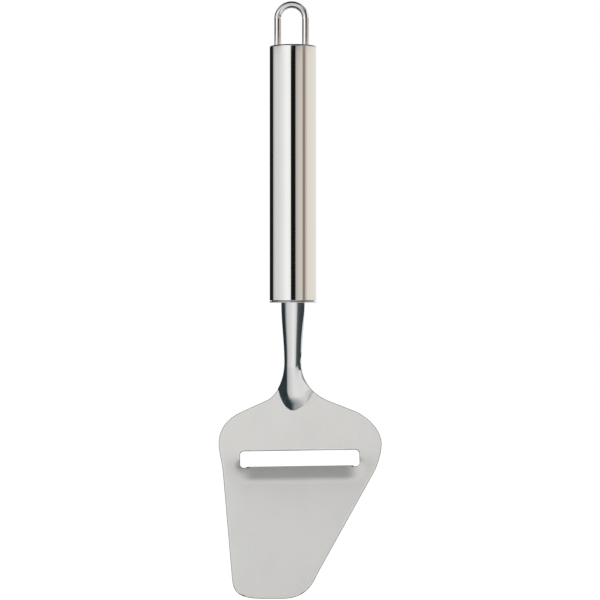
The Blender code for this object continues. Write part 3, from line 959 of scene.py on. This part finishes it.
def makeBottomCap(material):
    low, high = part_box("bottom_end_cap")
    outer, bottom, top = high.x, low.z, high.z
    edge, shoulder = bottomRim["edgeRound"], low.z + bottomRim["height"]
    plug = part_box("handle_tube")[1].x - handle["wall"] - bottomRim["plugGap"]
    profile = [(0, top), (plug, top), (plug, shoulder)]
    profile += arcPoints((outer - edge, shoulder - edge), edge, quarter, 0, bottomRim["edgeSteps"])
    profile += arcPoints((outer - edge, bottom + edge), edge, 0, -quarter, bottomRim["edgeSteps"])
    profile += [(0, bottom)]
    piece = turnPiece("bottomCap", profile, caps["steps"], False, caps["sharp"])
    # opening for the neck, the same arc as its sheet with a little room
    centre, radius = neckArc()
    room = blade["sheet"] / 2 + bottomRim["neckGap"]
    spread = blade["flank"] + bottomRim["neckGap"] / radius
    start, end = -quarter - spread, -quarter + spread
    ring = list(arcPoints(centre, radius + room, start, end, bottomRim["neckSteps"]))
    ring += arcPoints(centre, radius - room, end, start, bottomRim["neckSteps"])
    past = bottomRim["cutPast"]
    shape = bmesh.new()
    face = shape.faces.new([shape.verts.new((x, y, bottom - past)) for x, y in ring])
    lifted = bmesh.ops.extrude_face_region(shape, geom=[face])["geom"]
    points = [item for item in lifted if isinstance(item, bmesh.types.BMVert)]
    bmesh.ops.translate(shape, vec=(0, 0, top - bottom + 2 * past), verts=points)
    bmesh.ops.recalc_face_normals(shape, faces=shape.faces)
    cutter = shapePiece("neckOpening", shape)
    cut = piece.modifiers.new("neckOpening", "BOOLEAN")
    cut.operation = "DIFFERENCE"
    cut.object = cutter
    smoothOver(freeze(piece).data, caps["sharp"])
    bpy.data.objects.remove(cutter)
    piece.data.materials.clear()
    piece.data.materials.append(material)
    darkenSeam(material, shoulder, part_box("handle_tube")[0].z, plug)
    settle(piece, "cap_steel", "bottom_end_cap")


# hanging loop and weld beads, swept along their paths with Geometry Nodes

sweepSharp = math.radians(50)


def startSweep(name, sizes=()):
    # even steps along the piece's path, and the ring that is swept along them
    tree = bpy.data.node_groups.new(name, "GeometryNodeTree")
    tree.is_modifier = True
    for side in ("INPUT", "OUTPUT"):
        tree.interface.new_socket("Geometry", in_out=side, socket_type="NodeSocketGeometry")
    kinds = {"diameter": "Float", "step": "Float", "sides": "Int", **dict.fromkeys(sizes, "Float")}
    names = {}
    for label, kind in (*kinds.items(), ("material", "Material")):
        socket = tree.interface.new_socket(label, in_out="INPUT", socket_type="NodeSocket" + kind)
        names[label] = socket.identifier
    given = tree.nodes.new("NodeGroupInput").outputs
    path = addNode(tree, "GeometryNodeMeshToCurve", {"Mesh": given["Geometry"]}).outputs[0]
    values = {"Curve": path, "Length": given["step"]}
    even = addNode(tree, "GeometryNodeResampleCurve", values, mode="LENGTH").outputs[0]
    values = {"Resolution": given["sides"], "Radius": mathNode(tree, "MULTIPLY", given["diameter"], 0.5)}
    ring = addNode(tree, "GeometryNodeCurvePrimitiveCircle", values).outputs[0]
    return tree, names, given, even, ring


def endSweep(tree, given, shape):
    real = addNode(tree, "GeometryNodeRealizeInstances", {"Geometry": shape}).outputs[0]
    values = {"Geometry": real, "Material": given["material"]}
    finished = addNode(tree, "GeometryNodeSetMaterial", values).outputs[0]
    addNode(tree, "NodeGroupOutput", {"Geometry": finished})


def markPoints(tree, shape, name, measure):
    value = addNode(tree, "GeometryNodeSplineParameter").outputs[measure]
    values = {"Geometry": shape, "Name": name, "Value": value}
    settings = {"data_type": "FLOAT", "domain": "POINT"}
    return addNode(tree, "GeometryNodeStoreNamedAttribute", values, **settings).outputs[0]


def sweep(name, points, treeAndNames, sizes, material):
    piece = linePiece(name, points, [(i, i + 1) for i in range(len(points) - 1)])
    tree, names = treeAndNames
    modifier = piece.modifiers.new(tree.name, "NODES")
    modifier.node_group = tree
    for label, identifier in names.items():
        modifier[identifier] = material if label == "material" else sizes[label]
    smoothOver(freeze(piece).data, sweepSharp)
    return piece


wire = {
    "diameter": 0.0028,
    "offset": -0.0005,
    "spread": 0.0057,
    "step": 0.0003,
    "sides": 40,
    "archSteps": 96,
}


def wirePlaces():
    return wire["offset"] - wire["spread"], wire["offset"] + wire["spread"]


def bentWireTree():
    tree, names, given, path, ring = startSweep("bentWire")
    path = markPoints(tree, path, "along", "Length")
    ring = markPoints(tree, ring, "around", "Factor")
    values = {"Curve": path, "Profile Curve": ring, "Fill Caps": True}
    endSweep(tree, given, addNode(tree, "GeometryNodeCurveToMesh", values).outputs[0])
    return tree, names


def makeLoop(material):
    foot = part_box("hanging_loop")[0].z
    left, right = wirePlaces()
    archHeight = wire["diameter"] / 2 - wire["spread"]
    arch = arcPoints((wire["offset"], archHeight), wire["spread"], math.pi, 0, wire["archSteps"])
    points = [(left, 0, foot), *((x, 0, z) for x, z in arch), (right, 0, foot)]
    piece = sweep("loopWire", points, bentWireTree(), wire, material)
    settle(piece, "loop_wire", "hanging_loop")


bead = {
    "diameter": 0.0012,
    "gap": 0.0003,
    "ripplePitch": 0.0006,
    "rippleDepth": 0.13,
    "taper": 0.45,
    "taperPower": 14.0,
    "lumps": 0.00005,
    "lumpScale": 1400.0,
    "seed": 4.0,
    "step": 0.00006,
    "sides": 20,
    "pathSteps": 60,
    "legSpread": math.radians(110),
    "neckSpread": math.radians(55),
}


def weldBeadTree():
    tree, names, given, path, ring = startSweep("weldBead", ("ripplePitch", "rippleDepth", "lumps", "seed"))
    spline = addNode(tree, "GeometryNodeSplineParameter").outputs
    turns = mathNode(tree, "DIVIDE", spline["Length"], given["ripplePitch"])
    wave = mathNode(tree, "ABSOLUTE", mathNode(tree, "SINE", mathNode(tree, "MULTIPLY", turns, math.pi)))
    dip = mathNode(tree, "MULTIPLY", mathNode(tree, "SUBTRACT", 1.0, wave), given["rippleDepth"])
    # the ends taper to a rounded stop
    fromMiddle = mathNode(tree, "ABSOLUTE", mathNode(tree, "SUBTRACT", spline["Factor"], 0.5))
    taper = mathNode(tree, "POWER", mathNode(tree, "MULTIPLY", fromMiddle, 2.0), bead["taperPower"])
    less = mathNode(tree, "ADD", dip, mathNode(tree, "MULTIPLY", taper, bead["taper"]))
    scale = mathNode(tree, "SUBTRACT", 1.0, less)
    values = {"Curve": path, "Profile Curve": ring, "Scale": scale, "Fill Caps": True}
    swept = addNode(tree, "GeometryNodeCurveToMesh", values).outputs[0]
    values = {"W": given["seed"], "Scale": bead["lumpScale"], "Detail": 2.0}
    noise = addNode(tree, "ShaderNodeTexNoise", values, noise_dimensions="4D").outputs["Color"]
    values = {0: noise, 1: (0.5, 0.5, 0.5)}
    signed = addNode(tree, "ShaderNodeVectorMath", values, operation="SUBTRACT").outputs[0]
    values = {0: signed, "Scale": given["lumps"]}
    lump = addNode(tree, "ShaderNodeVectorMath", values, operation="SCALE").outputs[0]
    values = {"Geometry": swept, "Offset": lump}
    endSweep(tree, given, addNode(tree, "GeometryNodeSetPosition", values).outputs[0])
    return tree, names


def makeBeads(material):
    tree = weldBeadTree()
    beadRadius = bead["diameter"] / 2
    left, right = wirePlaces()
    legRadius = wire["diameter"] / 2 + bead["gap"] + beadRadius
    neckCentre, neckRadius = neckArc()
    neckRadius += blade["sheet"] / 2 + bead["gap"] + beadRadius
    runs = [
        ("loopBeadLeft", "loop_weld_left", (left, 0), legRadius, 0, bead["legSpread"]),
        ("loopBeadRight", "loop_weld_right", (right, 0), legRadius, math.pi, bead["legSpread"]),
        ("neckBead", "neck_weld", neckCentre, neckRadius, -quarter, bead["neckSpread"]),
    ]
    for name, node, centre, radius, facing, spread in runs:
        low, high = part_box(node)
        height = (low.z + high.z) / 2
        path = arcPoints(centre, radius, facing - spread, facing + spread, bead["pathSteps"])
        piece = sweep(name, [(x, y, height) for x, y in path], tree, bead, material)
        settle(piece, "weld_metal", node)


makeHandleTube(makeTubePolish())
makeBlade(makeBladeSatin())
makeTopCap(makeCapTurning("topCapTurning"))
makeBottomCap(makeCapTurning("bottomCapTurning"))
makeLoop(makeWirePolish())
makeBeads(makeBeadOxide())


# studio: pale floor, soft lamp, and a light tent round the steel

studio = {
    "floorHeight": -0.30,
    "floorSize": 2.4,
    "floorColours": ((0.86, 0.86, 0.86), (0.90, 0.90, 0.90)),
    "floorGrain": 60.0,
    "floorGlow": 0.72,          # share of the floor that the camera sees as plain white
    "glowStrength": 1.3,
    "lampPlace": (0.25, -0.45, 0.75),
    "lampAim": (0, 0, -0.15),
    "lampSize": 0.9,
    "lampPower": 9.0,
}
# what the steel mirrors, by the sideways slope of the face that mirrors it to the camera, in degrees
levelBands = [
    (-90, 0.01), (-59, 0.01), (-57, 0.50), (-53, (0.70, 0.71, 0.71)), (-49, (0.86, 0.87, 0.87)),
    (-35, (0.95, 0.96, 0.96)), (-24, (1.10, 1.11, 1.11)), (-15, (1.27, 1.28, 1.28)),
    (-9, (1.20, 1.21, 1.22)), (-5.7, (1.15, 1.16, 1.17)), (-4.7, 0.01), (5.9, 0.01),
    (7.4, (0.58, 0.57, 0.55)), (12, (0.74, 0.71, 0.67)), (20, (0.88, 0.81, 0.74)),
    (23.5, (0.80, 0.73, 0.66)), (26.5, (0.31, 0.27, 0.22)), (30, (0.31, 0.27, 0.22)),
    (32.5, (0.66, 0.60, 0.53)), (39, (1.03, 0.96, 0.86)), (55, (1.05, 1.01, 0.93)),
    (75, (1.02, 0.99, 0.95)), (90, (1.05, 1.04, 1.02)),
]
loopBands = [
    (-90, 0.30), (-75, 0.18), (-39, 0.13), (-31, 0.60), (-25, 1.36), (-9, 1.36), (-5, 0.75), (-1, 0.02),
    (16, 0.02), (21, (0.35, 0.33, 0.31)), (28, (0.62, 0.58, 0.53)), (46, (0.52, 0.48, 0.43)),
    (60, (0.85, 0.80, 0.74)), (90, (0.95, 0.92, 0.88)),
]
aboveBands = [
    (-90, 0.02), (-55, 0.02), (-46, 0.75), (-20, (1.12, 1.12, 1.11)), (2.5, (1.15, 1.14, 1.12)), (4.5, 0.02),
    (22, 0.02), (25, (1.05, 1.04, 1.02)), (60, (0.98, 0.97, 0.95)), (90, 0.85),
]
neckBands = [
    (-90, 0.55), (-70, 0.40), (-62, 0.12), (-55, 0.03), (-42, 0.04), (-38, 0.16), (-34, 0.45),
    (-29, 0.76), (-20, 0.88), (-8, 0.98), (2, 1.13), (9, 1.05), (15, 0.93), (19, 0.70), (23, 0.22),
    (27, 0.12), (33, 0.09), (48, 0.06), (70, 0.06), (80, 0.30), (90, 0.40),
]
# below the neck a dark wall stands on the left, whose edge comes nearer to the middle further down
wall = {
    "edge": -40.5,
    "reach": 37.0,
    "from": -0.105,
    "span": 0.33,
    "furthest": 1.05,
    # brightness by the distance from the edge, in degrees
    "crisp": [
        (-5, 0.045), (-2, 0.09), (0, 0.18), (3, 0.45), (8, 0.64), (20, 0.78), (38, 0.95), (58, 1.04),
        (90, 0.94),
    ],
    "soft": [(-20, 0.05), (-12, 0.09), (3, 0.22), (15, 0.38), (33, 0.53), (57, 0.77), (72, 0.88)],
    "softEdge": (-0.24, -0.37),
}
tent = {
    "haze": (0.38, 0.38, 0.38),
    "ceiling": (0.02, 0.02, 0.02),
    "ground": (0.78, 0.77, 0.75),       # behind and below the steel
    "shade": (0.015, 0.015, 0.015),     # behind it, to the left
    "noseEdge": (-0.133, -0.109),       # slopes of the mirroring face, downwards
    "neckEdge": (-0.021, -0.003),
    "loopEdge": (0.1108, 0.1118),       # heights of the mirrored direction
    "aboveEdge": (0.144, 0.165),
    "hazeEdge": (0.44, 0.62),
    "ceilingEdge": (0.78, 0.90),
    "groundEdge": (-0.12, -0.25),
    "behindEdge": (0.35, 0.60),
    "shadeEdge": (0.82, 0.92),
    "shadeTurn": math.radians(20),
    "neckShear": 28.0,
    "aboveShear": 25.0,
    "coolness": 0.27,                   # of the neck's dark bands
    "coolBelow": 0.5,
    "coolBlue": 0.55,
}


def tinted(colour, coolness):
    # a plain brightness gets a cool tint where it is dark
    if isinstance(colour, tuple):
        return colour
    cool = coolness * max(0.0, 1 - colour / tent["coolBelow"])
    return colour * (1 - cool), colour, colour * (1 + tent["coolBlue"] * cool)


def bandNode(tree, spot, bands, coolness=0.0):
    return rampNode(tree, spot, [((place + 90) / 180, tinted(colour, coolness)) for place, colour in bands])


def emptyTree(owner):
    owner.use_nodes = True
    owner.node_tree.nodes.clear()
    return owner.node_tree


def makeWorld():
    world = bpy.data.worlds.new("lightTent")
    bpy.context.scene.world = world
    tree = emptyTree(world)
    direction = addNode(tree, "ShaderNodeTexCoord").outputs["Generated"]
    apart = addNode(tree, "ShaderNodeSeparateXYZ", {"Vector": direction}).outputs
    # the face that mirrors a direction to the camera bisects the two
    depth = mathNode(tree, "MAXIMUM", mathNode(tree, "SUBTRACT", 1.0, apart["Y"]), 0.0001)
    sideways = mathNode(tree, "ARCTANGENT", mathNode(tree, "DIVIDE", apart["X"], depth))
    fall = mathNode(tree, "DIVIDE", apart["Z"], depth)
    across = mathNode(tree, "MULTIPLY_ADD", sideways, 1 / math.pi, 0.5)
    edgeShadeColour = mathNode(tree, "MULTIPLY_ADD", fall, -tent["neckShear"] / 180, across)
    leaning = mathNode(tree, "MULTIPLY_ADD", fall, -tent["aboveShear"] / 180, across)
    lower = mathNode(tree, "DIVIDE", mathNode(tree, "SUBTRACT", wall["from"], fall), wall["span"])
    lower = mathNode(tree, "MAXIMUM", mathNode(tree, "MINIMUM", lower, wall["furthest"]), 0.0)
    nearer = mathNode(tree, "MULTIPLY", lower, lower)
    wallEdge = mathNode(tree, "MULTIPLY_ADD", nearer, wall["reach"] / 180, wall["edge"] / 180)
    fromWall = mathNode(tree, "SUBTRACT", across, wallEdge)
    crisp, soft = (bandNode(tree, fromWall, wall[key], tent["coolness"]) for key in ("crisp", "soft"))
    look = mixColour(tree, easeNode(tree, fall, *wall["softEdge"]), crisp, soft)
    layers = [
        ("noseEdge", fall, bandNode(tree, edgeShadeColour, neckBands, tent["coolness"])),
        ("neckEdge", fall, bandNode(tree, across, levelBands)),
        ("loopEdge", apart["Z"], bandNode(tree, across, loopBands)),
        ("aboveEdge", apart["Z"], bandNode(tree, leaning, aboveBands)),
        ("hazeEdge", apart["Z"], tent["haze"]),
        ("ceilingEdge", apart["Z"], tent["ceiling"]),
    ]
    for edge, height, colour in layers:
        look = mixColour(tree, easeNode(tree, height, *tent[edge]), look, colour)
    below = easeNode(tree, apart["Z"], *tent["groundEdge"])
    behind = easeNode(tree, apart["Y"], *tent["behindEdge"])
    look = mixColour(tree, mathNode(tree, "MULTIPLY", below, behind), look, tent["ground"])
    away = mathNode(tree, "MULTIPLY", apart["Y"], math.cos(tent["shadeTurn"]))
    away = mathNode(tree, "MULTIPLY_ADD", apart["X"], -math.sin(tent["shadeTurn"]), away)
    look = mixColour(tree, easeNode(tree, away, *tent["shadeEdge"]), look, tent["shade"])
    seen = addNode(tree, "ShaderNodeLightPath").outputs["Is Camera Ray"]
    colour = mixColour(tree, seen, look, (1, 1, 1))
    background = addNode(tree, "ShaderNodeBackground", {"Color": colour}).outputs[0]
    addNode(tree, "ShaderNodeOutputWorld", {"Surface": background})


def makeFloor():
    material = bpy.data.materials.new("paleFloor")
    tree = emptyTree(material)
    values = {"Scale": studio["floorGrain"], "Detail": 2.0}
    grain = addNode(tree, "ShaderNodeTexNoise", values).outputs["Fac"]
    shade = mixColour(tree, grain, *studio["floorColours"])
    matte = addNode(tree, "ShaderNodeBsdfDiffuse", {"Color": shade}).outputs[0]
    glow = addNode(tree, "ShaderNodeEmission", {"Strength": studio["glowStrength"]}).outputs[0]
    seen = addNode(tree, "ShaderNodeLightPath").outputs["Is Camera Ray"]
    share = mathNode(tree, "MULTIPLY", seen, studio["floorGlow"])
    mixed = addNode(tree, "ShaderNodeMixShader", {0: share, 1: matte, 2: glow}).outputs[0]
    addNode(tree, "ShaderNodeOutputMaterial", {"Surface": mixed})
    shape = bmesh.new()
    bmesh.ops.create_grid(shape, x_segments=4, y_segments=4, size=studio["floorSize"])
    bmesh.ops.translate(shape, vec=(0, 0, studio["floorHeight"]), verts=shape.verts)
    floor = shapePiece("paleFloor", shape, material)
    floor.visible_glossy = False


def makeLamp():
    data = bpy.data.lights.new("softLamp", "AREA")
    data.shape = "DISK"
    data.size = studio["lampSize"]
    data.energy = studio["lampPower"]
    lamp = place("softLamp", data)
    lamp.location = studio["lampPlace"]
    aim = Vector(studio["lampAim"]) - lamp.location
    lamp.rotation_euler = aim.to_track_quat("-Z", "Y").to_euler()
    lamp.visible_glossy = False


camera = {
    "place": (0.00291, -0.9436, -0.11975),
    "lens": 138.0,
    "sensor": 36.0,
}


def makeCamera():
    data = bpy.data.cameras.new("photoCamera")
    data.lens = camera["lens"]
    data.sensor_width = camera["sensor"]
    view = place("photoCamera", data)
    view.location = camera["place"]
    view.rotation_euler = (quarter, 0, 0)
    bpy.context.scene.camera = view


makeWorld()
makeFloor()
makeLamp()
makeCamera()
bpy.context.scene.view_settings.view_transform = "Standard"
print("studio ready")
